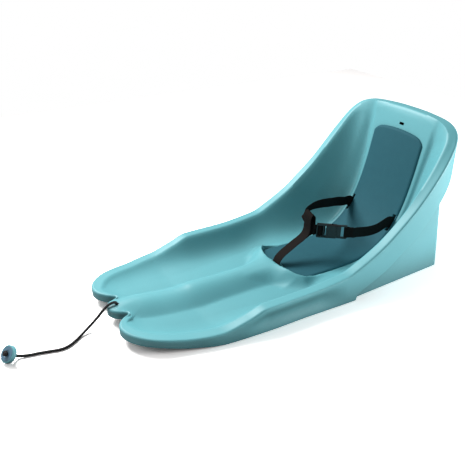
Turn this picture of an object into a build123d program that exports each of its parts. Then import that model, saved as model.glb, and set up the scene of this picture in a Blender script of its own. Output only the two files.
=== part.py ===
from build123d import *
import math
import os

# A pull sled for a small child: one moulded plastic shell with a soft seat pad, a three-strap
# harness with a side-release buckle, and a tow cord that ends in a round knob.
# X runs across the sled, +Y to the back, +Z up. The origin lies on the ground under the middle.
# All sizes are in millimetres.

# Overall shell
LENGTH = 790.0
HEIGHT = 335.0
HALF_WIDTH = 190.0
WALL = 3.0
FLANGE_WIDTH = 25.0
FRONT = -LENGTH / 2
BACK = LENGTH / 2

# Front edge: a round tongue between two leg lobes
TONGUE_RADIUS = 27.0
TONGUE_FLANK = 70.0
TONGUE_SETBACK = 3.0
NOTCH_HALF = 34.0
NOTCH_DEPTH = 33.0
LOBE_MIDDLE = 82.0
BACK_CORNER = 62.0

# Rim height along the side: front, low stretch, shoulder, level stretch, sweep
FRONT_RIM = 37.0
LOW_RIM = 26.0
SHOULDER_RIM = 55.0
SHOULDER_FROM_BACK = 524.0
SWEEP_FROM_BACK = 332.0

# Underside
FRONT_RISE = 19.0
ROCKER_LENGTH = 170.0
BASE_LENGTH = 266.0
BASE_HALF_FRONT = 181.0
BASE_HALF_REAR = 167.0
BASE_TAPER = 3.0
BASE_CORNER = 12.0
BASE_FROM_BACK = 34.0
BAND_DEPTH = 56.0

# Bowl
WELL_FLOOR = 4.5
SEAT_FLOOR = 11.0
HUMP_TOP = 30.0
TONGUE_RISE = 2.0
LIP_TOP = 34.0
LIP_HALF = 67.0
LIP_LENGTH = 84.0
LIP_CORNER = 13.0
LIP_FROM_BACK = 402.0
CURL = 0.65
FLOOR_STEPS = 7
WALL_STEPS = 6

# Seat pad
PAD_HALF = 79.0
PAD_THICKNESS = 4.0
PAD_CLEARANCE = 0.3
PAD_FRONT_INSIDE = 10.0
PAD_TOP_CORNER = 16.0

PAD_CROWN = 1.2
PAD_TOP_DROP = 49.0  # from the shell's top edge down to the pad's

# Harness
STRAP_WIDTH = 25.0
STRAP_THICKNESS = 1.6
STRAP_GAP = 0.4
SLOT_HALF_SPACING = 72.0
SLOT_WIDTH = 7.0
SLOT_LENGTH = 42.0
SLOT_FROM_BACK = 101.5
SLOT_HEIGHT = 84.0
SLOT_LEAN = 58.0
CROTCH_SLOT_LENGTH = 31.0
CROTCH_SLOT_WIDTH = 7.0
CROTCH_SLOT_INSIDE = 21.0
STOP_THICKNESS = 3.0
STOP_WIDTH = 15.0
STOP_LENGTH = 36.0
REST_GAP = 0.3
STOP_GAP = 0.7
STRAP_STEPS = 4

# Buckle: its long axis runs from the socket's ladder end to the plug's strap end
BUCKLE_LEFT = (16.8, 112.2, 88.2)
BUCKLE_RIGHT = (58.8, 169.2, 86.2)
BUCKLE_LENGTH = 70.0
BUCKLE_WIDTH = 35.0
BUCKLE_THICKNESS = 10.0
SOCKET_LENGTH = 45.0
LADDER_BAR = 2.5
LADDER_GAP = 5.0
LADDER_THICKNESS = 1.8
RAIL_INSIDE = 13.6
CAVITY_HALF = 13.5
CAVITY_THICKNESS = 5.6
PRONG_THICKNESS = 4.6
PRONG_ROOT_RADIUS = 2.2
PRONG_ROOT_PLACE = 14.0
PRONG_SPACING = 8.5

# Holes in the shell
TOW_HOLE_RADIUS = 4.0
TOW_HOLE_INSIDE = 24.0
HANG_SLOT_WIDTH = 6.0
HANG_SLOT_LENGTH = 14.0
HANG_SLOT_BELOW_TOP = 36.0
HANG_SLOT_FROM_BACK = 35.5

# Tow cord and knob
CORD_DIAMETER = 5.5
KNOB_DIAMETER = 34.0
KNOB_THICKNESS = 10.0
KNOB_BACK_ROUND = 4.5
KNOB_FRONT_ROUND = 1.8
KNOB_MIDDLE = (25.0, FRONT - 196.0, 16.6)
KNOB_FACING = (0.25, -0.70, 0.67)
KNOB_HOLE_RADIUS = 3.2
FACE_DIAMETER = 28.0
FACE_THICKNESS = 2.5
KNOT_RADIUS = 5.6
KNOT_HALF = 3.9

REACH_DOWN = 20.0


def curve_value(points, at):
    """Value at one place of a smooth curve through (place, value) points, without overshoot."""
    if at <= points[0][0]:
        return points[0][1]
    if at >= points[-1][0]:
        return points[-1][1]
    rises = [(b[1] - a[1]) / (b[0] - a[0]) for a, b in zip(points, points[1:])]
    slopes = [rises[0]]
    for low, high in zip(rises, rises[1:]):
        slopes.append(2 * low * high / (low + high) if low * high > 0 else 0.0)
    slopes.append(rises[-1])
    i = max(k for k in range(len(points) - 1) if points[k][0] <= at)
    (x0, y0), (x1, y1) = points[i], points[i + 1]
    run = x1 - x0
    t = (at - x0) / run
    start = y0 * (1 + 2 * t) * (1 - t) ** 2 + slopes[i] * run * t * (1 - t) ** 2
    end = y1 * t * t * (3 - 2 * t) - slopes[i + 1] * run * t * t * (1 - t)
    return start + end


def outline_points():
    """Right half of the rim seen from above, from the notch beside the tongue to the back."""
    narrow = HALF_WIDTH
    return [
        (NOTCH_HALF, FRONT + NOTCH_DEPTH),
        (NOTCH_HALF + 12, FRONT + 17),
        (LOBE_MIDDLE - 20, FRONT + 4),
        (LOBE_MIDDLE, FRONT),
        (LOBE_MIDDLE + 24, FRONT + 7),
        (narrow - 60, FRONT + 27),
        (narrow - 40, FRONT + 58),
        (narrow - 22, FRONT + 110),
        (narrow - 8, FRONT + 167),
        (narrow - 2, BACK - 525),
        (narrow - 2, BACK - 433),
        (narrow, BACK - 332),
        (narrow, BACK - 237),
        (narrow - 2, BACK - 151),
        (narrow - 8, BACK - 78),
        (narrow - 25, BACK - 33),
        (narrow - 65, BACK - 11),
        (BACK_CORNER, BACK - 2),
        (0.0, BACK),
    ]


def moved_in(points, inset):
    """The same run of outline points, moved to the inside."""
    moved = []
    for i, (x, y) in enumerate(points):
        x0, y0 = points[max(i - 1, 0)]
        x1, y1 = points[min(i + 1, len(points) - 1)]
        if i == len(points) - 1:
            x1, y1 = -x0, y0
        run = math.hypot(x1 - x0, y1 - y0)
        moved.append((x - inset * (y1 - y0) / run, y + inset * (x1 - x0) / run))
    return moved


def outline_face(inset):
    """Rim outline as a face, moved in by the inset."""
    radius = TONGUE_RADIUS - inset
    middle = FRONT + TONGUE_SETBACK + TONGUE_RADIUS

    def on_tongue(degrees):
        angle = math.radians(degrees)
        return (radius * math.sin(angle), middle - radius * math.cos(angle))

    flank = math.radians(TONGUE_FLANK)
    side = [on_tongue(TONGUE_FLANK)] + moved_in(outline_points(), inset)
    tongue = ThreePointArc(on_tongue(0), on_tongue(TONGUE_FLANK / 2), on_tongue(TONGUE_FLANK))
    flank_way = Vector(math.cos(flank), math.sin(flank))
    edge = Spline([Vector(*p) for p in side], tangents=[flank_way, Vector(-1, 0)], tangent_scalars=(1, 1))
    right = [tongue, edge]
    left = [piece.mirror(Plane.YZ) for piece in reversed(right)]
    return Face(Wire(right + left))


def rim_points():
    """Height of the rim's top along the sled."""
    return [
        (FRONT, FRONT_RIM),
        (FRONT + 55, (FRONT_RIM + LOW_RIM) / 2),
        (FRONT + 120, LOW_RIM),
        (FRONT + 165, LOW_RIM + 1),
        (BACK - SHOULDER_FROM_BACK - 41, SHOULDER_RIM - 14),
        (BACK - SHOULDER_FROM_BACK, SHOULDER_RIM - 1),
        (BACK - SHOULDER_FROM_BACK + 91, SHOULDER_RIM),
        (BACK - SWEEP_FROM_BACK, SHOULDER_RIM + 9),
        (BACK - 285, SHOULDER_RIM + 28),
        (BACK - 237, HEIGHT - 226),
        (BACK - 195, HEIGHT - 195),
        (BACK - 151, HEIGHT - 158),
        (BACK - 85, HEIGHT - 87),
        (BACK - 40, HEIGHT - 35),
        (BACK - 10, HEIGHT - 6),
        (BACK, HEIGHT),
    ]


def half_width(y, inset=0.0):
    """Half width of the rim outline at one place along the sled, moved in by the inset."""
    side = moved_in(outline_points()[2:-1], inset)
    return curve_value([(y_side, x) for x, y_side in side], y)


def back_edge(x):
    """Where the rim's back edge lies at one distance from the middle."""
    return curve_value([(p, q) for p, q in reversed(outline_points()[-6:])], abs(x))


def flange_height(x, y):
    """Top of the flange: level across its width, all the way round the rim."""
    side_gap = max(half_width(y) - abs(x), 0.0)
    back_gap = max(back_edge(x) - y, 0.0)
    share = side_gap ** 2 / (side_gap ** 2 + back_gap ** 2 + 1.0)
    near_back = min(max((y - BACK + 195) / 60, 0.0), 1.0)
    return curve_value(rim_points(), y + back_gap * share * near_back)


def underside_points():
    """Height of the front end's underside, which rises like a rocker."""
    return [
        (FRONT, FRONT_RISE),
        (FRONT + ROCKER_LENGTH * 0.3, FRONT_RISE * 0.78),
        (FRONT + ROCKER_LENGTH * 0.6, FRONT_RISE * 0.36),
        (FRONT + ROCKER_LENGTH, 0.0),
    ]


def stations():
    """Cross-sections of the top surface, from before the front edge to behind the back edge.

    Each has the place and height of its floor line, its lean, the half width of the floor,
    and the height of the hump's top and the half width of the hump in the middle.
    """
    well = WELL_FLOOR
    seat = SEAT_FLOOR
    tongue = FRONT_RIM + TONGUE_RISE
    hump = HUMP_TOP
    rows = [
        (FRONT - 60, FRONT_RIM, 0, 70, tongue - 3, 34),
        (FRONT - 25, FRONT_RIM, 0, 70, tongue - 3, 34),
        (FRONT, FRONT_RIM, 0, 70, tongue - 3, 35),
        (FRONT + 18, FRONT_RIM - 3, 0, 70, tongue - 1, 37),
        (FRONT + 34, FRONT_RIM - 11, 0, 72, tongue, 41),
        (FRONT + 52, FRONT_RIM - 17, 0, 76, tongue, 45),
        (FRONT + 72, FRONT_RIM - 21, 0, 82, tongue - 1, 48),
        (FRONT + 95, well, 0, 87, tongue - 4, 49),
        (FRONT + 120, well, 0, 90, hump + 1, 50),
        (FRONT + 150, well, 0, 91, hump - 1, 50),
        (FRONT + 172, well, 0, 92, hump, 51),
        (FRONT + 190, well, 0, 93, hump + 5, 53),
        (FRONT + 225, well, 0, 95, hump + 2.5, 51),
        (FRONT + 270, well, 0, 99, hump, 50),
        (BACK - 475, well, 0, 102, hump - 0.5, 50),
        (BACK - 430, well, 0, 106, hump, 52),
        (BACK - 400, well + 0.5, 0, 108, hump, 54),
        (BACK - 372, well + 2, 0, 106, hump * 0.6, 58),
        (BACK - 345, seat - 2, 0, 101, 0, 66),
        (BACK - 310, seat, 1, 94, 0, 66),
        (BACK - 270, seat, 4, 89, 0, 66),
        (BACK - 235, seat + 1, 9, 87, 0, 66),
        (BACK - 205, seat + 4, 16, 86, 0, 66),
        (BACK - 177, seat + 11, 24, 85, 0, 66),
        (BACK - 150, seat + 24, 34, 85, 0, 66),
        (BACK - 127, seat + 41, 44, 85, 0, 66),
        (BACK - 107, seat + 64, 52, 85, 0, 66),
        (BACK - 91, seat + 90, 58, 85, 0, 66),
        (BACK - 78, seat + 119, 62, 85, 0, 66),
        (BACK - 67, seat + 151, 65, 86, 0, 66),
        (BACK - 56, seat + 191, 68, 87, 0, 66),
        (BACK - 47, HEIGHT - 93, 70, 90, 0, 66),
        (BACK - 39, HEIGHT - 56, 70, 93, 0, 66),
        (BACK - 33, HEIGHT - 29, 64, 98, 0, 66),
        (BACK - 28, HEIGHT - 11, 50, 108, 0, 66),
        (BACK - 20, HEIGHT - 3, 25, 130, 0, 66),
        (BACK - 8, HEIGHT, 5, 140, 0, 66),
        (BACK + 20, HEIGHT, 0, 140, 0, 66),
    ]
    raised = []
    for y, z, lean, foot, top, hump_half in rows:
        lowest = curve_value(underside_points(), y) + WALL * 1.5
        z = max(z, lowest) if y < BACK - LIP_FROM_BACK else z
        raised.append((y, z, lean, foot, max(top - z, 0.0), hump_half))
    return raised


def rim_reach(base, up):
    """How far up a leaning cross-section meets the flange's inner edge, and where that is."""
    low, high = 0.0, 300.0
    for _ in range(30):
        middle = (low + high) / 2
        place = base + up * middle
        inner = half_width(min(place.Y, BACK - 30), FLANGE_WIDTH)
        if place.Z > flange_height(inner, place.Y):
            high = middle
        else:
            low = middle
    return high, inner


def surface_row(cross_section):
    """Points of the top surface across the sled, from beyond one side to beyond the other."""
    y, z, lean, foot, hump, hump_half = cross_section
    up = Vector(0, -math.sin(math.radians(lean)), math.cos(math.radians(lean)))
    base = Vector(0, y, z)
    rim, inner = rim_reach(base, up)
    inner = max(inner, foot + 12)
    outer = HALF_WIDTH + 15
    half = []
    for x in [foot * k / FLOOR_STEPS for k in range(FLOOR_STEPS)]:
        rise = hump * 0.5 * (1 + math.cos(math.pi * min(x / hump_half, 1)))
        half.append((x, rise))
    for t in [k / WALL_STEPS for k in range(WALL_STEPS)]:
        half.append((foot + (inner - foot) * t, rim * ((1 - CURL) * t + CURL * t * t)))
    for t in [k / 3 for k in range(4)]:
        half.append((inner + (outer - inner) * t, rim))
    right = [(x, (base + up * rise).Y, (base + up * rise).Z) for x, rise in half]
    left = [(-x, y, z) for x, y, z in reversed(right[1:])]
    return left + right


def surface_grid():
    """Points of the whole top surface."""
    return [surface_row(cross_section) for cross_section in stations()]


def moved_down(grid, inset):
    """A grid of points, moved square to itself, downwards."""
    points = [[Vector(*p) for p in row] for row in grid]
    if inset == 0:
        return points
    last_row = len(points) - 1
    last_column = len(points[0]) - 1
    moved = []
    for i, row in enumerate(points):
        line = []
        for j, place in enumerate(row):
            along = points[min(i + 1, last_row)][j] - points[max(i - 1, 0)][j]
            across = row[min(j + 1, last_column)] - row[max(j - 1, 0)]
            normal = across.cross(along).normalized()
            line.append(place - normal * inset)
        moved.append(line)
    return moved


def under_surface(inset):
    """Everything below the top surface, moved down by the inset."""
    sections = []
    for row in moved_down(surface_grid(), inset):
        first, last = row[0], row[-1]
        last_low = Vector(last.X, last.Y, -2 * REACH_DOWN)
        first_low = Vector(first.X, first.Y, -2 * REACH_DOWN)
        sides = [Line(last, last_low), Line(last_low, first_low), Line(first_low, first)]
        sections.append(Wire([Spline(row)] + sides))
    return Solid.make_loft(sections, ruled=True)


def side_prism(points, curve=()):
    """A block across the whole sled from corners in the side view, closed by a smooth curve."""
    corners = [Vector(0, y, z) for y, z in points]
    edges = [Line(a, b) for a, b in zip(corners, corners[1:])]
    if curve:
        edges.append(Spline([corners[-1]] + [Vector(0, y, z) for y, z in curve] + [corners[0]]))
    else:
        edges.append(Line(corners[-1], corners[0]))
    wide = HALF_WIDTH + 60
    face = Face(Wire(edges))
    return extrude(face.moved(Location((-wide, 0, 0))), amount=2 * wide, dir=(1, 0, 0))


def rocker_space():
    """Space below the front end, where the underside rises like a rocker."""
    rear = FRONT + ROCKER_LENGTH
    low = -REACH_DOWN
    ahead = FRONT - 5
    corners = [(rear, 0.0), (rear, low), (ahead, low), (ahead, FRONT_RISE)]
    return side_prism(corners, underside_points()[1:-1])


def band_bottom(y):
    """Lower edge of the rim's deep band behind the base's front end."""
    slope = (curve_value(rim_points(), y + 5) - curve_value(rim_points(), y - 5)) / 10
    return curve_value(rim_points(), y) - BAND_DEPTH * math.hypot(1, slope)


def undercut_space(inset):
    """Space under the band that hangs round the back of the sled."""
    step = BACK - BASE_FROM_BACK - BASE_LENGTH
    end = BACK - 12
    low = -2 * REACH_DOWN
    corners = [
        (end, band_bottom(end) + inset),
        (BACK + 20, band_bottom(end) + inset + 20),
        (BACK + 20, low),
        (step - inset, low),
        (step - inset, band_bottom(step) + inset),
    ]
    curve = []
    for k in range(1, 6):
        y = step + (end - step) * k / 6
        curve.append((y, band_bottom(y) + inset))
    return side_prism(corners, curve) - base_block(inset)


def base_block(inset):
    """Tapered block under the seat that stands on the ground."""
    front = BACK - BASE_FROM_BACK - BASE_LENGTH - 30
    rear = BACK - BASE_FROM_BACK - inset
    corners = [
        (BASE_HALF_FRONT - inset, front),
        (BASE_HALF_REAR - inset, rear),
        (-BASE_HALF_REAR + inset, rear),
        (-BASE_HALF_FRONT + inset, front),
    ]
    plan = make_face(Polyline(*corners, close=True).edges())
    block = extrude(plan, amount=HEIGHT, taper=BASE_TAPER)
    upright = [e for e in block.edges() if e.bounding_box().size.Z > HEIGHT / 2]
    rear_edges = [e for e in upright if e.center().Y > BACK - BASE_LENGTH / 2]
    block = fillet(rear_edges, radius=BASE_CORNER - inset)
    if inset:
        foot = block.faces().sort_by(Axis.Z)[0]
        block = block + extrude(foot, amount=2 * REACH_DOWN, dir=(0, 0, -1))
    return block


def lip_block(inset):
    """Raised front end of the seat with its lip."""
    front = BACK - LIP_FROM_BACK
    back = front + LIP_LENGTH
    half = LIP_HALF - inset
    side = (half, front + 20)
    outline = [
        Line((half + 8, back), (-half - 8, back)),
        Line((-half - 8, back), (-half, front + 20)),
        ThreePointArc((-half, front + 20), (0, front + inset), side),
        Line(side, (half + 8, back)),
    ]
    plan = make_face(outline)
    block = extrude(plan, amount=LIP_TOP + 10)
    uprights = [e for e in block.edges() if abs(e.center().Y - side[1]) < 1 and e.length > LIP_TOP]
    block = fillet(uprights, radius=LIP_CORNER - inset)
    low = -REACH_DOWN if inset else 0.0
    top = side_prism([
        (front - 10, low),
        (back + 10, low),
        (back + 10, SEAT_FLOOR - inset),
        (front + 70, SEAT_FLOOR + 3 - inset),
        (front + 32, LIP_TOP - 2 - inset),
        (front - 10, LIP_TOP + 1 - inset),
    ])
    if inset:
        foot = block.faces().sort_by(Axis.Z)[0]
        block = block + extrude(foot, amount=REACH_DOWN, dir=(0, 0, -1))
    return block & top


def pad_plan(grow):
    """Seat pad seen from above: a round front end and straight sides."""
    front = BACK - LIP_FROM_BACK + PAD_FRONT_INSIDE - grow
    half = PAD_HALF + grow
    side = (half, front + 30)
    outline = [
        Line((half, BACK), (-half, BACK)),
        Line((-half, BACK), (-half, side[1])),
        ThreePointArc((-half, side[1]), (0, front), side),
        Line(side, (half, BACK)),
    ]
    return make_face(outline)


def pad_pocket(inset):
    """Space for the pad's front end behind the lip."""
    front = BACK - LIP_FROM_BACK
    plan = pad_plan(1.0 + inset)
    block = extrude(plan, amount=100)
    keep = side_prism([
        (front - 20, SEAT_FLOOR - inset),
        (front + 110, SEAT_FLOOR - inset),
        (front + 110, SEAT_FLOOR + 60),
        (front - 20, SEAT_FLOOR + 60),
    ])
    return block & keep


def blank(inset):
    """The sled as one full block, smaller by the inset on every side and open to the ground."""
    low = -REACH_DOWN if inset else 0.0
    plan = outline_face(inset).moved(Location((0, 0, low)))
    column = Solid.extrude(plan, Vector(0, 0, HEIGHT + 30 - low))
    body = column & under_surface(inset)
    body = body - undercut_space(inset)
    body = body + lip_block(inset)
    return body - pad_pocket(inset)


def largest(shape):
    """The biggest solid of a shape."""
    return shape.solids().sort_by(SortBy.VOLUME)[-1]


def slot_place(side):
    """Middle of a lap strap's slot, on the front face of the back panel."""
    return Vector(side * SLOT_HALF_SPACING, BACK - SLOT_FROM_BACK, SLOT_HEIGHT)


def panel_forward():
    """Direction square to the back panel at the lap strap's slots."""
    lean = math.radians(SLOT_LEAN)
    return Vector(0, -math.sin(lean), math.cos(lean))


def at_slot(side, ahead):
    """A place and frame at a lap slot: X across, Y up along the panel, Z away from it."""
    forward = panel_forward()
    return Location(Plane(slot_place(side) + forward * ahead, x_dir=(1, 0, 0), z_dir=forward))


def crotch_place():
    """Distance of the crotch strap's slot along the sled."""
    return BACK - LIP_FROM_BACK + CROTCH_SLOT_INSIDE


def strap_openings(grow):
    """Space of the three strap slots, in the shell and in the pad."""
    width = SLOT_WIDTH + 2 * grow
    length = SLOT_LENGTH + 2 * grow
    space = Pos(0, crotch_place(), SEAT_FLOOR) * Box(CROTCH_SLOT_LENGTH + 2 * grow, CROTCH_SLOT_WIDTH + 2 * grow, 24)
    for side in (-1, 1):
        space = space + at_slot(side, 0) * Box(width, length, 24)
    return space


def tow_hole():
    """Hole for the tow cord in the top of the tongue."""
    return Pos(0, FRONT + TOW_HOLE_INSIDE, FRONT_RIM) * Cylinder(TOW_HOLE_RADIUS, 16)


def hanging_slot():
    """Slot near the top of the back panel, to hang the sled on a hook."""
    place = Vector(0, BACK - HANG_SLOT_FROM_BACK, HEIGHT - HANG_SLOT_BELOW_TOP)
    frame = Location(Plane(place, x_dir=(1, 0, 0), z_dir=(0, -0.92, 0.4)))
    return frame * Box(HANG_SLOT_LENGTH, HANG_SLOT_WIDTH, 14)


def sled_shell():
    """Thin moulded shell, open underneath."""
    shell = largest(blank(0.0) - blank(WALL) - rocker_space())
    return shell - strap_openings(0.0) - tow_hole() - hanging_slot()


def seat_pad():
    """Soft pad that lies on the seat and up the back panel."""
    sections = []
    for y, z, lean, _, _, _ in stations():
        if y < BACK - LIP_FROM_BACK - 20 or y > BACK - 30:
            continue
        if y < BACK - 310:
            z = SEAT_FLOOR
        normal = Vector(0, -math.sin(math.radians(lean)), math.cos(math.radians(lean)))
        base = Vector(0, y, z)
        low = [Vector(-PAD_HALF, 0, 0) + base + normal * PAD_CLEARANCE]
        low.append(low[0] + Vector(2 * PAD_HALF, 0, 0))
        edge = PAD_CLEARANCE + PAD_THICKNESS - PAD_CROWN
        soft = PAD_THICKNESS / 2
        right = base + Vector(PAD_HALF - soft / 2, 0, 0) + normal * edge
        left = base + Vector(-PAD_HALF + soft / 2, 0, 0) + normal * edge
        crown = base + normal * (edge + 2 * PAD_CROWN)
        right_side = base + Vector(PAD_HALF + soft / 2, 0, 0) + normal * (edge / 2)
        left_side = base + Vector(-PAD_HALF - soft / 2, 0, 0) + normal * (edge / 2)
        sections.append(Wire([
            Line(low[0], low[1]),
            ThreePointArc(low[1], right_side, right),
            ThreePointArc(right, crown, left),
            ThreePointArc(left, left_side, low[0]),
        ]))
    sheet = Solid.make_loft(sections, ruled=True)
    front = sheet & extrude(pad_plan(0.0), amount=HEIGHT)
    frame = Pos(0, BACK, 0) * Rot(90, 0, 0)
    top = HEIGHT - PAD_TOP_DROP
    corner = PAD_HALF - PAD_TOP_CORNER
    arch = make_face([
        Line((-PAD_HALF - 5, 0), (PAD_HALF + 5, 0)),
        Line((PAD_HALF + 5, 0), (PAD_HALF + 5, top - 22)),
        Line((PAD_HALF + 5, top - 22), (PAD_HALF, top - 22)),
        ThreePointArc((PAD_HALF, top - 22), (PAD_HALF - 4, top - 12), (corner, top - 7)),
        ThreePointArc((corner, top - 7), (0, top), (-corner, top - 7)),
        ThreePointArc((-corner, top - 7), (-PAD_HALF + 4, top - 12), (-PAD_HALF, top - 22)),
        Line((-PAD_HALF, top - 22), (-PAD_HALF - 5, top - 22)),
        Line((-PAD_HALF - 5, top - 22), (-PAD_HALF - 5, 0)),
    ])
    pad = front & frame * extrude(arch, amount=LENGTH)
    return largest(pad - strap_openings(0.5))


def between(values, place):
    """Smooth run through a list of points: the place is a number from 0 to the last index."""
    i = min(int(place), len(values) - 2)
    t = place - i
    p1, p2 = Vector(*values[i]), Vector(*values[i + 1])
    p0 = Vector(*values[i - 1]) if i else p1 * 2 - p2
    p3 = Vector(*values[i + 2]) if i + 2 < len(values) else p2 * 2 - p1
    near = p1 * 2 + (p2 - p0) * t
    bend = (p0 * 2 - p1 * 5 + p2 * 4 - p3) * (t * t)
    far = (p1 * 3 - p0 - p2 * 3 + p3) * (t * t * t)
    return (near + bend + far) * 0.5


def ribbon(route, edges):
    """Flat strap along a route; each route point has the direction of the strap's width."""
    count = (len(route) - 1) * STRAP_STEPS
    sections = []
    for k in range(count + 1):
        at = k / STRAP_STEPS
        place = between(route, at)
        ahead = between(route, min(at + 0.05, len(route) - 1)) - between(route, max(at - 0.05, 0))
        ahead = ahead.normalized()
        width_way = between(edges, at)
        width_way = (width_way - ahead * width_way.dot(ahead)).normalized()
        face_way = ahead.cross(width_way)
        across = width_way * (STRAP_WIDTH / 2)
        up = face_way * (STRAP_THICKNESS / 2)
        corners = [place + across + up, place - across + up, place - across - up, place + across - up]
        sections.append(Wire.make_polygon(corners, close=True))
    return Solid.make_loft(sections, ruled=True)


def buckle_frame():
    """Frame of the buckle: X along it, Y through its thickness, Z across its width."""
    left, right = Vector(*BUCKLE_LEFT), Vector(*BUCKLE_RIGHT)
    along = (right - left).normalized()
    return Plane((left + right) * 0.5, x_dir=along, z_dir=Vector(0, 0, 1) - along * along.Z)


def on_buckle(x, y, z=0.0):
    """A place given in the buckle's frame."""
    frame = buckle_frame()
    place = frame.origin + frame.x_dir * x + frame.y_dir * y + frame.z_dir * z
    return (place.X, place.Y, place.Z)


def slot_route(side):
    """Last places of a lap strap, through its slot to its sewn end behind the panel."""
    places = []
    for ahead in (14.0, 7.0, 0.0, -4.5, -8.4):
        place = slot_place(side) + panel_forward() * ahead
        places.append((place.X, place.Y, place.Z))
    return places


def sewn_end(side):
    """Folded and sewn end of a lap strap, too thick for the strap stop's slot."""
    depth = WALL + STOP_GAP + STOP_THICKNESS + STRAP_GAP + 2.5
    return at_slot(side, -depth) * Box(6.0, STRAP_WIDTH + 1, 5.0)


def lap_strap_right():
    """Strap from the right slot, through the crotch strap's loop, into the socket's ladder."""
    panel_edge = (0, 0.53, 0.85)
    route = list(reversed(slot_route(-1)))
    edges = [panel_edge] * len(route)
    reach = LADDER_THICKNESS / 2 + STRAP_GAP + STRAP_THICKNESS / 2 + 1.1
    pitch = LADDER_BAR + LADDER_GAP
    start = -BUCKLE_LENGTH / 2 + LADDER_BAR / 2
    route += [
        (-69, 262, 94), (-61, 233, 103), (-50, 205, 111), (-38, 172, 121), (-28, 138, 127),
        (-22.5, 113, 124), (-19.5, 103, 119), (-14, 101.8, 113), (-7, 102.8, 107.5), (2, 104.4, 100),
    ]
    edges += [
        (0.05, 0.4, 0.9), (0.1, 0.25, 0.95), (0.15, 0.15, 0.97), (0.2, 0.1, 0.96), (0.3, 0.08, 0.95),
        (0.35, 0.05, 0.93), (0.4, 0.05, 0.91), (0.42, 0.05, 0.9), (0.42, 0.05, 0.9), (0.3, 0.05, 0.95),
    ]
    weave = [
        (start - pitch, -0.8), (start - pitch / 2, reach * 0.6), (start, reach), (start + pitch / 2, 0.0),
        (start + pitch, -reach), (start + pitch * 1.5, 0.0), (start + pitch * 2, reach),
        (start + pitch * 2 + 4, reach + 0.2),
    ]
    route += [on_buckle(x, y) for x, y in weave]
    edges += [(0.15, 0, 0.98)] + [(0.0, 0.0, 1.0)] * (len(weave) - 1)
    return ribbon(route, edges) + sewn_end(-1)


def lap_strap_left():
    """Strap sewn round the plug's bar, to the left slot."""
    panel_edge = (0, 0.53, 0.85)
    bar = BUCKLE_LENGTH / 2 - 1.5
    turn = 2.0 + STRAP_GAP + STRAP_THICKNESS / 2 + 0.1
    layer = STRAP_THICKNESS / 2 + 0.1
    loop = [
        (bar + 16, layer), (bar + 10, layer + 0.2), (bar + 5.5, turn * 0.62), (bar + 2, turn), (bar - 1.5, turn),
        (bar - 4.2, turn * 0.7), (bar - 5.2, 0.0), (bar - 4.2, -turn * 0.7), (bar - 1.5, -turn),
        (bar + 2, -turn), (bar + 5.5, -turn * 0.62), (bar + 10, -layer - 0.2), (bar + 16, -layer),
    ]
    route = [on_buckle(x, y) for x, y in loop]
    edges = [(0.0, 0.0, 1.0)] * len(loop)
    route += [(66.5, 195, 83), (69, 222, 79.5), (71, 250, 81)]
    edges += [(0, 0, 1), (0, 0.1, 0.99), (0, 0.3, 0.95)]
    route += slot_route(1)
    edges += [panel_edge] * 5
    tack_place = buckle_frame() * Pos(bar + 14, 0, 0)
    tack = tack_place * Box(3.0, 3 * STRAP_THICKNESS, STRAP_WIDTH - 5)
    return ribbon(route, edges) + tack + sewn_end(1)


def crotch_strap():
    """Strap from the seat to a loop round the lap strap."""
    y = crotch_place()
    route = [
        (0, y, SEAT_FLOOR - 8), (0, y, SEAT_FLOOR - 3), (0, y, SEAT_FLOOR + 4), (0, y + 1.5, SEAT_FLOOR + 13),
        (0, y + 8, 34), (0, y + 20, 43), (0, y + 33, 50), (0, y + 52, 60), (0, y + 68, 67.5),
        (0, y + 79, 76), (0, y + 84, 88), (0, y + 84.5, 101), (0, y + 84.3, 114), (0, y + 85.8, 122.5),
        (0, y + 91, 128), (0, y + 96.5, 122.5), (0, y + 98, 112), (0, y + 98, 99), (0, y + 97.5, 89),
        (0, y + 95.5, 80.5), (0, y + 88.5, 76.3), (0, y + 80, 73.8), (0, y + 75, 70.4),
    ]
    level = (1, 0, 0)
    slanted = (1, 0, -0.25)
    edges = [level] * 10 + [level] * 2 + [slanted] * 5 + [level] * 6
    end = Pos(0, y, SEAT_FLOOR - WALL - REST_GAP - STOP_THICKNESS - STRAP_GAP - 1.6) * Box(STRAP_WIDTH + 1, 6, 3.2)
    return ribbon(route, edges) + end


def stop_plate(length, width):
    """Flat strap stop with a slot for the strap; its slot runs along X."""
    plate = Box(length, width, STOP_THICKNESS)
    plate = fillet(plate.edges().filter_by(Axis.Z), radius=2.5)
    return plate - Box(STRAP_WIDTH + 2, STRAP_THICKNESS + 2 * STRAP_GAP + 0.6, 2 * STOP_THICKNESS)


def strap_stop(side):
    """Strap stop behind the back panel."""
    depth = WALL + STOP_GAP + STOP_THICKNESS / 2
    return at_slot(side, -depth) * Rot(0, 0, 90) * stop_plate(STOP_LENGTH + 2, STOP_WIDTH)


def crotch_stop():
    """Strap stop under the seat."""
    z = SEAT_FLOOR - WALL - REST_GAP - STOP_THICKNESS / 2
    return Pos(0, crotch_place(), z) * stop_plate(STOP_LENGTH + 4, STOP_WIDTH)


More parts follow.
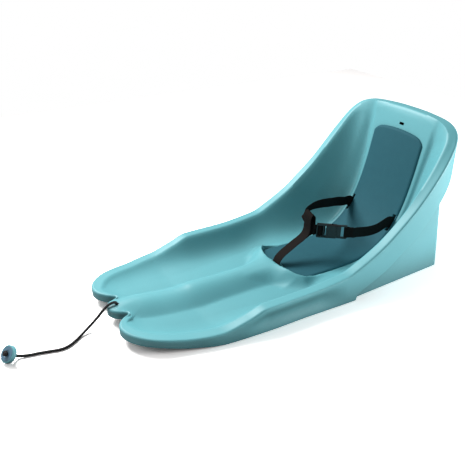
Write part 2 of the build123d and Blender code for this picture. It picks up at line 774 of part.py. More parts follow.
def buckle_socket():
    """Female half of the buckle with a ladder for the strap and windows for the prongs."""
    left = -BUCKLE_LENGTH / 2
    right = left + SOCKET_LENGTH
    ladder = 3 * LADDER_BAR + 2 * LADDER_GAP + 4.5
    body = Pos((left + ladder + right) / 2, 0, 0) * Box(right - left - ladder, BUCKLE_THICKNESS, BUCKLE_WIDTH)
    body = fillet(body.edges().filter_by(Axis.X), radius=3.0)
    frame = Pos(left + ladder / 2 + 1, 0, 0) * Box(ladder + 2, BUCKLE_THICKNESS - 3, BUCKLE_WIDTH - 1)
    frame = fillet(frame.edges().filter_by(Axis.Y), radius=3.0)
    opening = Pos(left + ladder / 2, 0, 0) * Box(ladder, BUCKLE_THICKNESS, 2 * RAIL_INSIDE)
    frame = frame - opening
    for k in range(3):
        x = left + LADDER_BAR / 2 + k * (LADDER_BAR + LADDER_GAP)
        frame = frame + Pos(x, 0, 0) * Box(LADDER_BAR, LADDER_THICKNESS, 2 * RAIL_INSIDE + 2)
    socket = body + frame
    cavity = Pos(right - 8.5, 0, 0) * Box(19, CAVITY_THICKNESS, 2 * CAVITY_HALF)
    windows = Pos(right - 7.5, 0, 0) * Box(8.0, CAVITY_THICKNESS, BUCKLE_WIDTH + 10)
    return buckle_frame() * (socket - cavity - windows)


def buckle_plug():
    """Male half of the buckle with a bar for the strap and a middle tongue."""
    left = -BUCKLE_LENGTH / 2 + SOCKET_LENGTH + 0.6
    right = BUCKLE_LENGTH / 2
    body = Pos(left + 5, 0, 0) * Box(10, BUCKLE_THICKNESS - 1, BUCKLE_WIDTH - 2)
    body = fillet(body.edges().filter_by(Axis.X), radius=3.0)
    frame = Pos((left + 9 + right) / 2, 0, 0) * Box(right - left - 9, 6.0, BUCKLE_WIDTH - 2)
    frame = fillet(frame.edges().filter_by(Axis.Y), radius=2.5)
    opening_start = left + 10
    opening = Pos((opening_start + right - 3) / 2, 0, 0) * Box(right - 3 - opening_start, 12, 2 * RAIL_INSIDE)
    bar_trim = Pos(right - 1, 0, 0) * Box(4.1, 12, 2 * RAIL_INSIDE)
    frame = frame - opening - (bar_trim - Pos(right - 1, 0, 0) * Box(5, 4.0, 2 * RAIL_INSIDE))
    tongue = Pos(left - 6, 0, 0) * Box(14, PRONG_THICKNESS - 0.6, 6.0)
    plug = body + frame + tongue
    for side in (-1, 1):
        root = Pos(PRONG_ROOT_PLACE, 0, side * PRONG_SPACING)
        room = Rot(90, 0, 0) * Cylinder(PRONG_ROOT_RADIUS + 0.5, PRONG_THICKNESS + 1.0)
        mouth = Pos(-3.5, 0, 0) * Box(7.0, PRONG_THICKNESS + 1.0, 2 * PRONG_ROOT_RADIUS + 1.6)
        plug = plug - root * (room + mouth)
    return buckle_frame() * plug


def buckle_prong(side):
    """Springy prong of the plug, with the tab that shows in the socket's side window."""
    root = PRONG_ROOT_PLACE
    inner = PRONG_SPACING - 1.7
    outer = PRONG_SPACING + 1.7
    window_right = -BUCKLE_LENGTH / 2 + SOCKET_LENGTH - 3.5 - 0.4
    tip = window_right - 7.2
    outline = Polyline(
        (root, inner), (root, outer), (window_right, outer), (window_right, BUCKLE_WIDTH / 2 - 0.4),
        (window_right - 3.5, BUCKLE_WIDTH / 2 - 0.8), (tip, outer + 1.2), (tip - 2.5, outer - 1.0),
        (tip - 2.5, inner), close=True,
    )
    arm = extrude(make_face(outline.edges()), amount=PRONG_THICKNESS / 2, both=True)
    arm = arm + Pos(root, PRONG_SPACING, 0) * Cylinder(PRONG_ROOT_RADIUS, PRONG_THICKNESS)
    arm = Rot(90, 0, 0) * arm
    if side < 0:
        arm = arm.mirror(Plane.XY)
    return buckle_frame() * arm


def knot(radius):
    """Overhand knot as three tight turns of cord."""
    turn = CORD_DIAMETER / 2 * 0.9
    core = Sphere(radius - turn * 0.8)
    for tilt in (-18, 18):
        core = core + Rot(tilt, tilt, 0) * Torus(radius - turn, turn)
    return core


def knob_frame(ahead):
    """Frame on the knob's axis, ahead of the knob's middle towards its face."""
    facing = Vector(*KNOB_FACING).normalized()
    return Location(Plane(Vector(*KNOB_MIDDLE) + facing * ahead, x_dir=(1, 0.36, 0), z_dir=facing))


def knob_body():
    """Round grip at the end of the cord."""
    grip = Cylinder(KNOB_DIAMETER / 2, KNOB_THICKNESS)
    grip = fillet([grip.edges().sort_by(Axis.Z)[0]], radius=KNOB_BACK_ROUND)
    grip = fillet([grip.edges().filter_by(GeomType.CIRCLE).sort_by(Axis.Z)[-1]], radius=KNOB_FRONT_ROUND)
    room = Pos(0, 0, KNOB_THICKNESS / 2) * Cylinder(FACE_DIAMETER / 2 + REST_GAP, 2 * FACE_THICKNESS)
    return knob_frame(0) * (grip - room - Cylinder(KNOB_HOLE_RADIUS, 2 * KNOB_THICKNESS))


def knob_face():
    """Coloured disc set into the knob, hollowed for the knot."""
    disc = Cylinder(FACE_DIAMETER / 2, FACE_THICKNESS)
    disc = fillet([disc.edges().sort_by(Axis.Z)[-1]], radius=0.8)
    hollow = Pos(0, 0, FACE_THICKNESS / 2) * Cone(6.2, 8.0, 2.4)
    disc = disc - hollow - Cylinder(KNOB_HOLE_RADIUS, 3 * FACE_THICKNESS)
    return knob_frame(KNOB_THICKNESS / 2 - FACE_THICKNESS / 2 + REST_GAP) * disc


def knob_knot():
    """Knot in the cord's end, on the knob's face."""
    return knob_frame(knot_ahead()) * knot(KNOT_RADIUS)


def knot_ahead():
    """Distance of the end knot's middle ahead of the knob's middle."""
    return KNOB_THICKNESS / 2 + REST_GAP + KNOT_HALF


def cord_stop_knot():
    """Knot under the tongue that keeps the cord in its hole."""
    return Pos(0, FRONT + TOW_HOLE_INSIDE, stop_knot_height()) * knot(KNOT_RADIUS)


def stop_knot_height():
    """Height of the knot's middle under the tongue."""
    return FRONT_RIM + TONGUE_RISE - 1 - WALL - REST_GAP - KNOT_HALF


def cord_route():
    """Places of the cord from its knot under the tongue to the knob."""
    hole = FRONT + TOW_HOLE_INSIDE
    low = CORD_DIAMETER / 2 + 0.3
    facing = Vector(*KNOB_FACING).normalized()
    behind = Vector(*KNOB_MIDDLE) - facing * 14
    end = Vector(*KNOB_MIDDLE) + facing * (knot_ahead() - KNOT_HALF - REST_GAP)
    return [
        (0, hole, stop_knot_height() + KNOT_HALF + REST_GAP),
        (0, hole, FRONT_RIM + 7.5),
        (0, FRONT + 5, FRONT_RIM + 6.5),
        (2, FRONT - 24, 17),
        (14, FRONT - 56, low),
        (33, FRONT - 79, low),
        (42, FRONT - 100, low),
        (37, FRONT - 122, low),
        (31, FRONT - 143, low),
        (28, FRONT - 162, low),
        (23.5, FRONT - 175, low + 0.6),
        (behind.X, behind.Y, behind.Z),
        (end.X, end.Y, end.Z),
    ]


def tow_cord():
    """Round cord from its knot under the tongue to the knot in the knob."""
    places = [Vector(*p) for p in cord_route()]
    runs = [(b - a).length for a, b in zip(places, places[1:])]
    radii = []
    for i in range(1, len(places) - 1):
        before = (places[i] - places[i - 1]).normalized()
        after = (places[i + 1] - places[i]).normalized()
        half_turn = math.acos(max(-1, min(1, before.dot(after)))) / 2
        radii.append(0.45 * min(runs[i - 1], runs[i]) / math.tan(half_turn))
    route = FilletPolyline(*places, radius=radii)
    start = Plane(places[0], z_dir=places[1] - places[0])
    cord = sweep(start * Circle(CORD_DIAMETER / 2), path=route)
    section = math.pi * CORD_DIAMETER ** 2 / 4
    print("cord bend radii in mm:", [round(r, 1) for r in radii])
    print("cord length in mm:", round(route.length, 1), "volume over section times length:",
          round(cord.volume / (section * route.length), 4))
    return cord


def pieces():
    """Every separate piece by its name."""
    return {
        "sled_shell": sled_shell,
        "seat_pad": seat_pad,
        "lap_strap_left": lap_strap_left,
        "lap_strap_right": lap_strap_right,
        "crotch_strap": crotch_strap,
        "strap_stop_left": lambda: strap_stop(1),
        "strap_stop_right": lambda: strap_stop(-1),
        "strap_stop_crotch": crotch_stop,
        "buckle_socket": buckle_socket,
        "buckle_plug": buckle_plug,
        "buckle_prong_upper": lambda: buckle_prong(1),
        "buckle_prong_lower": lambda: buckle_prong(-1),
        "tow_cord": tow_cord,
        "cord_stop_knot": cord_stop_knot,
        "knob_body": knob_body,
        "knob_face": knob_face,
        "knob_knot": knob_knot,
    }


def build():
    os.makedirs("parts", exist_ok=True)
    for name, make in pieces().items():
        piece = make()
        solids = piece.solids()
        size = piece.bounding_box().size
        print(name, len(solids), "solid, valid", piece.is_valid, "volume", round(piece.volume),
              "size", [round(v, 1) for v in (size.X, size.Y, size.Z)], flush=True)
        piece.label = name
        export_step(piece, "parts/" + name + ".step")


if __name__ == "__main__":
    build()
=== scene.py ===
"""Looks for a small child's pull sled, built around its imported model.

Sizes are in millimetres and become metres where a mesh is made. The front of the sled looks
to -Y, and +X is the rider's left, the side that the camera sees.
"""

import math

import bmesh
import bpy
import numpy as np
from mathutils import Matrix, Vector
from mathutils.bvhtree import BVHTree

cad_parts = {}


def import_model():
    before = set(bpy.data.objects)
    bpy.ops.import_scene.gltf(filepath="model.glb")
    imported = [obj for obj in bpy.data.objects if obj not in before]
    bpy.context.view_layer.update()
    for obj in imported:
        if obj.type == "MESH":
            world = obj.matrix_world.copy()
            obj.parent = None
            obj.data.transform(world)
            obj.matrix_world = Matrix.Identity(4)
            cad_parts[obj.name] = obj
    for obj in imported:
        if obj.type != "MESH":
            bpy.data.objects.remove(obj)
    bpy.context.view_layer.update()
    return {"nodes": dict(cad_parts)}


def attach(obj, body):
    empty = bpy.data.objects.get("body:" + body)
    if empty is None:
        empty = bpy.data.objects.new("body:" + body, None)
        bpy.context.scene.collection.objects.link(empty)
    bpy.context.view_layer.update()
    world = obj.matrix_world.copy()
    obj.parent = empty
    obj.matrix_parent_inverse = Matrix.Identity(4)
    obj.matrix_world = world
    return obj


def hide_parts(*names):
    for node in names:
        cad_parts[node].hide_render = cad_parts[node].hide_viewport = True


MM = 0.001

# Shell
LENGTH = 790.0
HEIGHT = 335.0
HALF_WIDTH = 190.0
WALL = 3.0
FLANGE_WIDTH = 25.0
FRONT = -LENGTH / 2
BACK = LENGTH / 2
TONGUE_RADIUS = 27.0
TONGUE_FLANK = 70.0
TONGUE_SETBACK = 3.0
TONGUE_RISE = 2.0
NOTCH_HALF = 34.0
NOTCH_DEPTH = 33.0
LOBE_MIDDLE = 82.0
BACK_CORNER = 62.0
FRONT_RIM = 37.0
LOW_RIM = 26.0
SHOULDER_RIM = 55.0
SHOULDER_FROM_BACK = 524.0
SWEEP_FROM_BACK = 332.0
FRONT_RISE = 19.0
ROCKER_LENGTH = 170.0
BAND_DEPTH = 56.0
BASE_STEP = 95.0
BASE_HALF_FRONT = 181.0
BASE_HALF_REAR = 167.0
BASE_FROM_BACK = 34.0
BASE_CORNER = 12.0
BASE_TAPER = 3.0
BASE_TOP = 200.0
BACK_CLEAR = 16.0
SCOOP_DEPTH = 8.0
FLUTE_SPACING = 9.0
WELL_FLOOR = 4.5
SEAT_FLOOR = 11.0
HUMP_TOP = 30.0
CURL = 0.8
HUMP_FULLNESS = 0.62
GROOVE_DEPTH = 7.0
EDGE_RADIUS = 4.5
RIM_STEP = 4.0

# Raised lip in front of the seat
LIP_TOP = 34.0
LIP_FROM_BACK = 402.0
LIP_HALF = 67.0

# Pad
PAD_HALF = 79.0
PAD_THICKNESS = 4.0
PAD_CROWN = 1.2
PAD_GAP = 0.3
PAD_FRONT = BACK - LIP_FROM_BACK + 10.0

# Harness
STRAP_WIDTH = 25.0
STRAP_THICKNESS = 1.6
STRAP_GAP = 0.4
SLOT_HALF_SPACING = 72.0
SLOT_WIDTH = 7.0
SLOT_LENGTH = 42.0
SLOT_FROM_BACK = 101.5
SLOT_HEIGHT = 84.0
SLOT_LEAN = 58.0
CROTCH_PLACE = BACK - LIP_FROM_BACK + 21.0
BUCKLE_LEFT = Vector((16.8, 112.2, 88.2))
BUCKLE_RIGHT = Vector((58.8, 169.2, 86.2))
BUCKLE_LENGTH = 70.0
LADDER_BAR = 2.5
LADDER_GAP = 5.0
LADDER_THICKNESS = 1.8

# Cord and knob
CORD_DIAMETER = 5.5
TOW_HOLE_INSIDE = 24.0
KNOB_MIDDLE = Vector((25.0, FRONT - 196.0, 16.6))
KNOB_FACING = Vector((0.25, -0.70, 0.67)).normalized()
KNOB_THICKNESS = 10.0
KNOT_RADIUS = 5.6
KNOT_HALF = 3.9
REST_GAP = 0.3

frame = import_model()


# ---------------------------------------------------------------- forms of the shell


def curve_value(points, at):
    """Value at one place of a smooth curve through (place, value) points, without overshoot."""
    if at <= points[0][0]:
        return points[0][1]
    if at >= points[-1][0]:
        return points[-1][1]
    rises = [(b[1] - a[1]) / (b[0] - a[0]) for a, b in zip(points, points[1:])]
    slopes = [rises[0]]
    for low, high in zip(rises, rises[1:]):
        slopes.append(2 * low * high / (low + high) if low * high > 0 else 0.0)
    slopes.append(rises[-1])
    i = max(k for k in range(len(points) - 1) if points[k][0] <= at)
    (x0, y0), (x1, y1) = points[i], points[i + 1]
    run = x1 - x0
    t = (at - x0) / run
    start = y0 * (1 + 2 * t) * (1 - t) ** 2 + slopes[i] * run * t * (1 - t) ** 2
    end = y1 * t * t * (3 - 2 * t) - slopes[i + 1] * run * t * t * (1 - t)
    return start + end


def ease(low, high, value):
    """Smooth step from 0 at low to 1 at high."""
    t = min(max((value - low) / (high - low), 0.0), 1.0)
    return t * t * (3 - 2 * t)


def between(values, place):
    """Smooth run through a list of points: the place is a number from 0 to the last index."""
    i = min(int(place), len(values) - 2)
    t = place - i
    p1, p2 = Vector(values[i]), Vector(values[i + 1])
    p0 = Vector(values[i - 1]) if i else p1 * 2 - p2
    p3 = Vector(values[i + 2]) if i + 2 < len(values) else p2 * 2 - p1
    near = p1 * 2 + (p2 - p0) * t
    bend = (p0 * 2 - p1 * 5 + p2 * 4 - p3) * (t * t)
    far = (p1 * 3 - p0 - p2 * 3 + p3) * (t * t * t)
    return (near + bend + far) * 0.5


def outline_points():
    """Right half of the rim seen from above, from the notch beside the tongue to the back."""
    wide = HALF_WIDTH
    return [
        (NOTCH_HALF, FRONT + NOTCH_DEPTH), (NOTCH_HALF + 12, FRONT + 17), (LOBE_MIDDLE - 20, FRONT + 4),
        (LOBE_MIDDLE, FRONT), (LOBE_MIDDLE + 24, FRONT + 7), (wide - 60, FRONT + 27), (wide - 40, FRONT + 58),
        (wide - 22, FRONT + 110), (wide - 8, FRONT + 167), (wide - 2, BACK - 525), (wide - 2, BACK - 433),
        (wide, BACK - 332), (wide, BACK - 237), (wide - 2, BACK - 151), (wide - 8, BACK - 78),
        (wide - 25, BACK - 33), (wide - 65, BACK - 11), (BACK_CORNER, BACK - 2), (0.0, BACK),
    ]


def rim_points():
    """Height of the rim's top along the sled."""
    return [
        (FRONT, FRONT_RIM), (FRONT + 55, (FRONT_RIM + LOW_RIM) / 2), (FRONT + 120, LOW_RIM),
        (FRONT + 165, LOW_RIM + 1), (BACK - SHOULDER_FROM_BACK - 41, SHOULDER_RIM - 14),
        (BACK - SHOULDER_FROM_BACK, SHOULDER_RIM - 1), (BACK - SHOULDER_FROM_BACK + 91, SHOULDER_RIM),
        (BACK - SWEEP_FROM_BACK, SHOULDER_RIM + 9), (BACK - 285, SHOULDER_RIM + 28),
        (BACK - 237, HEIGHT - 226), (BACK - 195, HEIGHT - 195), (BACK - 151, HEIGHT - 158),
        (BACK - 85, HEIGHT - 87), (BACK - 40, HEIGHT - 35), (BACK - 10, HEIGHT - 6), (BACK, HEIGHT),
    ]


RIM = rim_points()
SIDE = [(y, x) for x, y in outline_points()[2:-1]]
REAR = [(x, y) for x, y in reversed(outline_points()[-6:])]


def flange_height(x, y):
    """Top of the flange: level across its width, all the way round the rim."""
    side_gap = max(curve_value(SIDE, y) - abs(x), 0.0)
    back_gap = max(curve_value(REAR, abs(x)) - y, 0.0)
    share = side_gap ** 2 / (side_gap ** 2 + back_gap ** 2 + 1.0)
    near_back = min(max((y - BACK + 195) / 60, 0.0), 1.0)
    return curve_value(RIM, y + back_gap * share * near_back)


def underside(y):
    """Lower edge of the side wall."""
    if y > BASE_STEP:
        slope = (curve_value(RIM, y + 5) - curve_value(RIM, y - 5)) / 10
        return curve_value(RIM, min(y, BACK - 12)) - BAND_DEPTH * math.hypot(1, slope)
    return curve_value([
        (FRONT, FRONT_RISE), (FRONT + ROCKER_LENGTH * 0.3, FRONT_RISE * 0.78),
        (FRONT + ROCKER_LENGTH * 0.6, FRONT_RISE * 0.36), (FRONT + ROCKER_LENGTH, 0.0),
    ], y)


def stations():
    """Cross-sections of the bowl: place, floor height, lean, floor half width, hump's top, hump's half width."""
    well, seat, hump = WELL_FLOOR, SEAT_FLOOR, HUMP_TOP
    tongue = FRONT_RIM + TONGUE_RISE
    rows = [
        (FRONT - 60, FRONT_RIM, 0, 70, tongue - 3, 34), (FRONT - 25, FRONT_RIM, 0, 70, tongue - 3, 34),
        (FRONT, FRONT_RIM, 0, 70, tongue - 3, 35), (FRONT + 18, FRONT_RIM - 3, 0, 70, tongue - 1, 37),
        (FRONT + 34, FRONT_RIM - 11, 0, 72, tongue, 41), (FRONT + 52, FRONT_RIM - 17, 0, 76, tongue, 45),
        (FRONT + 72, FRONT_RIM - 21, 0, 82, tongue - 1, 48), (FRONT + 95, well, 0, 87, tongue - 4, 49),
        (FRONT + 120, well, 0, 90, hump + 1, 50), (FRONT + 150, well, 0, 91, hump - 1, 50),
        (FRONT + 172, well, 0, 92, hump, 51), (FRONT + 190, well, 0, 93, hump + 3, 53),
        (FRONT + 225, well, 0, 95, hump + 2.5, 51), (FRONT + 270, well, 0, 99, hump, 50),
        (BACK - 475, well, 0, 102, hump - 0.5, 50), (BACK - 430, well, 0, 106, hump, 52),
        (BACK - 400, well + 0.5, 0, 108, hump, 54), (BACK - 372, well + 2, 0, 106, hump * 0.6, 58),
        (BACK - 345, seat - 2, 0, 101, 0, 66), (BACK - 310, seat, 1, 94, 0, 66), (BACK - 270, seat, 4, 89, 0, 66),
        (BACK - 235, seat + 1, 9, 87, 0, 66), (BACK - 205, seat + 4, 16, 86, 0, 66),
        (BACK - 177, seat + 11, 24, 85, 0, 66), (BACK - 150, seat + 24, 34, 85, 0, 66),
        (BACK - 127, seat + 41, 44, 85, 0, 66), (BACK - 107, seat + 64, 52, 85, 0, 66),
        (BACK - 91, seat + 90, 58, 85, 0, 66), (BACK - 78, seat + 119, 62, 85, 0, 66),
        (BACK - 67, seat + 151, 65, 86, 0, 66), (BACK - 56, seat + 191, 68, 87, 0, 66),
        (BACK - 47, HEIGHT - 93, 70, 90, 0, 66), (BACK - 39, HEIGHT - 56, 70, 93, 0, 66),
        (BACK - 33, HEIGHT - 29, 64, 98, 0, 66), (BACK - 28, HEIGHT - 11, 50, 108, 0, 66),
        (BACK - 20, HEIGHT - 3, 25, 130, 0, 66), (BACK - 8, HEIGHT, 5, 140, 0, 66),
        (BACK + 20, HEIGHT, 0, 140, 0, 66),
    ]
    raised = []
    for y, z, lean, foot, top, hump_half in rows:
        if y < BACK - LIP_FROM_BACK:
            z = max(z, underside(y) + WALL * 1.5)
        raised.append((y, z, lean, foot, max(top - z, 0.0), hump_half))
    return raised


def smooth_stations(steps):
    """The cross-sections with more of them in between."""
    rows = stations()
    fine = []
    for k in range((len(rows) - 1) * steps + 1):
        place = k / steps
        first = between([row[:3] for row in rows], place)
        second = between([row[3:] for row in rows], place)
        fine.append((*first, second.x, max(second.y, 0.0), second.z))
    return fine


def surface_row(station, columns):
    """Points of the bowl across one cross-section, from beyond one side to beyond the other."""
    y, z, lean, foot, hump, hump_half = station
    up = Vector((0, -math.sin(math.radians(lean)), math.cos(math.radians(lean))))
    base = Vector((0, y, z))
    low, high, inner = 0.0, 300.0, foot
    for _ in range(24):
        middle = (low + high) / 2
        place = base + up * middle
        inner = curve_value(SIDE, min(place.y, BACK - 30)) - FLANGE_WIDTH
        if place.z > flange_height(inner, place.y):
            high = middle
        else:
            low = middle
    rim, inner = high, max(inner, foot + 12)
    half = []
    for k in range(columns):
        x = foot * k / columns
        half.append((x, hump * (0.5 * (1 + math.cos(math.pi * min(x / hump_half, 1)))) ** HUMP_FULLNESS))
    for k in range(columns):
        t = k / columns
        groove = GROOVE_DEPTH * ease(15, 45, lean) * (ease(0, 0.1, t) - ease(0.12, 0.5, t))
        half.append((foot + (inner - foot) * t, rim * ((1 - CURL) * t + CURL * t ** 3) - groove))
    for k in range(6):
        half.append((inner + (HALF_WIDTH + 20 - inner) * k / 5, rim))
    right = [Vector((x, (base + up * rise).y, (base + up * rise).z)) for x, rise in half]
    return [Vector((-p.x, p.y, p.z)) for p in reversed(right[1:])] + right


def bowl_tree():
    """The bowl's surface, to drop points on."""
    rows = [surface_row(station, 24) for station in smooth_stations(5)]
    wide = len(rows[0])
    points = [p for row in rows for p in row]
    faces = []
    for i in range(len(rows) - 1):
        for j in range(wide - 1):
            a = i * wide + j
            faces.append((a, a + 1, a + wide + 1, a + wide))
    return BVHTree.FromPolygons(points, faces)


BOWL = bowl_tree()


def blended(low, high, width):
    """The larger of two heights, with a soft change from one to the other."""
    share = max(width - abs(low - high), 0.0) / width
    return max(low, high) + share * share * width / 4


def pad_front(x):
    """Place of the pad's front edge."""
    v = min(abs(x) / PAD_HALF, 1.0)
    return PAD_FRONT + 30 * (0.72 * v * v + 0.28 * v ** 8)


def lip_height(x, y):
    """Height of the raised lip that runs round the front of the seat."""
    wide = abs(x)
    corner = pad_front(PAD_HALF)
    v = max(min(wide / PAD_HALF, 1.0), 0.01)
    steep = 30 * (1.44 * v + 2.24 * v ** 7) / PAD_HALF
    beside = max(wide - PAD_HALF, 0.0)
    ahead = pad_front(x) - y
    if ahead > beside / steep:
        outside = (ahead + beside * steep) / math.hypot(1, steep)
    else:
        outside = math.hypot(beside, max(ahead, 0.0)) if beside else ahead
    crest = LIP_TOP - 8 * ease(50, 84, wide) - 15 * ease(corner - 10, corner + 50, y)
    slope = 0.15 + 0.8 * ease(15, 65, wide)
    return crest - max(outside - 4, 0.0) * slope - max(1 - outside, 0.0) * 6


def bowl_height(x, y):
    """Height of the bowl's surface over one place."""
    hit = BOWL.ray_cast(Vector((x, y, 900.0)), Vector((0, 0, -1)))[0]
    level = hit.z if hit else flange_height(x, y)
    if abs(x) < PAD_HALF + 30 and -80 < y < 85:
        level = blended(level, lip_height(x, y), 9.0)
    return level


def outline_half():
    """Right half of the outline as evenly spaced points, from the tongue's tip to the back."""
    middle = FRONT + TONGUE_SETBACK + TONGUE_RADIUS
    corners = []
    for k in range(8):
        angle = math.radians(TONGUE_FLANK * k / 7)
        corners.append((TONGUE_RADIUS * math.sin(angle), middle - TONGUE_RADIUS * math.cos(angle), 0))
    corners += [(x, y, 0) for x, y in outline_points()]
    mirrored = [(-corners[1][0], corners[1][1], 0)] + corners + [(-corners[-2][0], corners[-2][1], 0)]
    line = [between(mirrored, 1 + k / 16) for k in range((len(corners) - 1) * 16 + 1)]
    runs = np.cumsum([0.0] + [(b - a).length for a, b in zip(line, line[1:])])
    count = int(runs[-1] / RIM_STEP)
    even = []
    for k in range(count + 1):
        at = runs[-1] * k / count
        i = min(int(np.searchsorted(runs, at, side="right")) - 1, len(line) - 2)
        even.append(line[i].lerp(line[i + 1], (at - runs[i]) / (runs[i + 1] - runs[i])))
    even[0].x = 0.0
    even[-1].x = 0.0
    return even


def base_point(share, z):
    """Point of the base's wall at one height; share runs from its front end to the back's middle."""
    draft = z * math.tan(math.radians(BASE_TAPER))
    rear = BACK - BASE_FROM_BACK - draft
    slope = (BASE_HALF_REAR - BASE_HALF_FRONT) / (BACK - BASE_FROM_BACK - BASE_STEP)
    corner_y = rear - BASE_CORNER

    def half(y):
        return BASE_HALF_FRONT + slope * (y - BASE_STEP) - draft

    if share < 0.47:
        y = BASE_STEP + (corner_y - BASE_STEP) * share / 0.47
        return Vector((half(y), y, z))
    corner_x = half(corner_y) - BASE_CORNER
    if share <= 0.53:
        angle = (share - 0.47) / 0.06 * math.pi / 2
        return Vector((corner_x + BASE_CORNER * math.cos(angle), corner_y + BASE_CORNER * math.sin(angle), z))
    return Vector((corner_x * (1 - (share - 0.53) / 0.47), rear, z))


def base_shares(half):
    """How far along the base each outline point lies, or None in front of the base."""
    first = next(i for i, p in enumerate(half) if p.y > BASE_STEP)
    corner = min(range(first, len(half)), key=lambda i: (half[i] - Vector((158, 373, 0))).length)
    shares = [None] * first
    for i in range(first, corner):
        shares.append(0.5 * (i - first) / (corner - first))
    for i in range(corner, len(half)):
        shares.append(0.5 + 0.5 * (i - corner) / (len(half) - 1 - corner))
    return shares


INNER_RINGS = 56
SKIRT_RINGS = 12
FLANGE_INSETS = [24.0, 21.0, 17.5, 14.0, 10.5, 7.5]


def spine_places(half):
    """Where each outline point's column meets the middle line, in order from front to back."""
    first = next(i for i, p in enumerate(half) if p.x > HALF_WIDTH - 35)
    places = []
    for i, p in enumerate(half):
        aligned = FRONT + 105 + (p.y - FRONT) * (LENGTH - 200) / LENGTH
        if i < first:
            start = FRONT + 105 + (half[first].y - FRONT) * (LENGTH - 200) / LENGTH
            aligned = FRONT + 60 + (start - FRONT - 60) * i / first
        places.append(max(aligned, places[-1] + 0.1) if places else aligned)
    return places


def shell_column(point, inward, share, spine_y):
    """Points of the shell from the middle line, over the flange and the side wall, to the ground."""
    narrow = 0.5 + 0.5 * ease(58, 100, abs(point.x)) if point.y < FRONT + 70 else 1.0
    inner = point + inward * (FLANGE_WIDTH + 1) * narrow
    spine = Vector((0, spine_y, 0))
    column = []
    for k in range(INNER_RINGS):
        t = 1 - k / INNER_RINGS
        place = inner.lerp(spine, t)
        column.append(Vector((place.x, place.y, bowl_height(place.x, place.y))))
    rim = flange_height(point.x, point.y)
    for inset in FLANGE_INSETS:
        place = point + inward * (EDGE_RADIUS + (inset - EDGE_RADIUS) * narrow)
        level = flange_height(place.x, place.y)
        if abs(place.x) < 45 and place.y < FRONT + 60:
            level = bowl_height(place.x, place.y)
        column.append(Vector((place.x, place.y, level)))
    for k in range(5):
        angle = k / 4 * math.pi / 2
        place = point + inward * EDGE_RADIUS * (1 - math.sin(angle))
        column.append(Vector((place.x, place.y, rim - EDGE_RADIUS * (1 - math.cos(angle)))))
    foot = underside(point.y)
    if point.y > BACK - 12:
        foot += BACK_CLEAR * ease(-150, -60, -abs(point.x))
    scoop = SCOOP_DEPTH * ease(-190, -120, point.y) * ease(-10, 60, -point.y + 60)
    if abs(point.x) < TONGUE_RADIUS and point.y < FRONT + NOTCH_DEPTH:
        scoop = 0.9 + 0.9 * math.cos(point.x * 2 * math.pi / FLUTE_SPACING)
    for k in range(1, SKIRT_RINGS + 1):
        t = k / SKIRT_RINGS
        place = point + inward * scoop * math.sin(math.pi * t) ** 2
        column.append(Vector((place.x, place.y, rim - EDGE_RADIUS + (foot - rim + EDGE_RADIUS) * t)))
    if share is None:
        column += [column[-1].copy() for _ in range(5)]
        return column
    for k in range(5):
        column.append(base_point(share, min(foot, BASE_TOP) * (1 - k / 4)))
    return column


def relax(grid, first, last, rounds):
    """Soften the bowl's creases between two rings."""
    for _ in range(rounds):
        near = np.roll(grid, 1, axis=0) + np.roll(grid, -1, axis=0)
        mean = (near[:, 1:-1] + grid[:, :-2] + grid[:, 2:]) / 4
        grid[:, first:last] += 0.5 * (mean[:, first - 1:last - 1] - grid[:, first:last])
    return grid


def new_object(name, mesh):
    piece = bpy.data.objects.new(name, mesh)
    bpy.context.scene.collection.objects.link(piece)
    return piece


def mesh_object(name, points, faces, sharp=38.0):
    """A mesh piece from points in millimetres, smooth but for its sharp edges."""
    mesh = bpy.data.meshes.new(name)
    mesh.from_pydata([Vector(p) * MM for p in points], [], faces)
    work = bmesh.new()
    work.from_mesh(mesh)
    bmesh.ops.remove_doubles(work, verts=work.verts, dist=0.00004)
    bmesh.ops.recalc_face_normals(work, faces=work.faces)
    mark_sharp(work, sharp)
    work.to_mesh(mesh)
    work.free()
    return new_object(name, mesh)


def mark_sharp(work, sharp):
    for face in work.faces:
        face.smooth = True
    for edge in work.edges:
        edge.smooth = len(edge.link_faces) == 2 and edge.calc_face_angle(0.0) < math.radians(sharp)


def applied(piece):
    """Turn a piece's modifiers into its mesh."""
    graph = bpy.context.evaluated_depsgraph_get()
    done = bpy.data.meshes.new_from_object(piece.evaluated_get(graph))
    piece.modifiers.clear()
    piece.data = done
    return piece


def shell_surface():
    """Outer surface of the shell as one sheet."""
    half = outline_half()
    shares = base_shares(half)
    ring = half + [Vector((-p.x, p.y, 0)) for p in reversed(half[1:-1])]
    ring_shares = shares + list(reversed(shares[1:-1]))
    spine = spine_places(half)
    spine += list(reversed(spine[1:-1]))
    count = len(ring)
    columns = []
    for i, point in enumerate(ring):
        ahead = ring[(i + 3) % count] - ring[i - 3]
        inward = Vector((-ahead.y, ahead.x, 0)).normalized()
        column = shell_column(point, inward, ring_shares[i], spine[i])
        if point.x < 0:
            for k in range(-5, 0):
                if ring_shares[i] is not None:
                    column[k] = Vector((-column[k].x, column[k].y, column[k].z))
        columns.append([tuple(p) for p in column])
    grid = np.array(columns)
    grid = relax(grid, 1, INNER_RINGS + 1, 2)
    front = np.array([p.y < FRONT + 60 and abs(p.x) < 75 for p in ring])
    soft = relax(grid.copy(), 20, INNER_RINGS + len(FLANGE_INSETS), 8)
    grid[front] = soft[front]
    deep = grid.shape[1]
    faces = []
    for i in range(count):
        j = (i + 1) % count
        for k in range(deep - 1):
            faces.append((i * deep + k, j * deep + k, j * deep + k + 1, i * deep + k + 1))
    return mesh_object("sled_shell_body", grid.reshape(-1, 3).tolist(), faces)


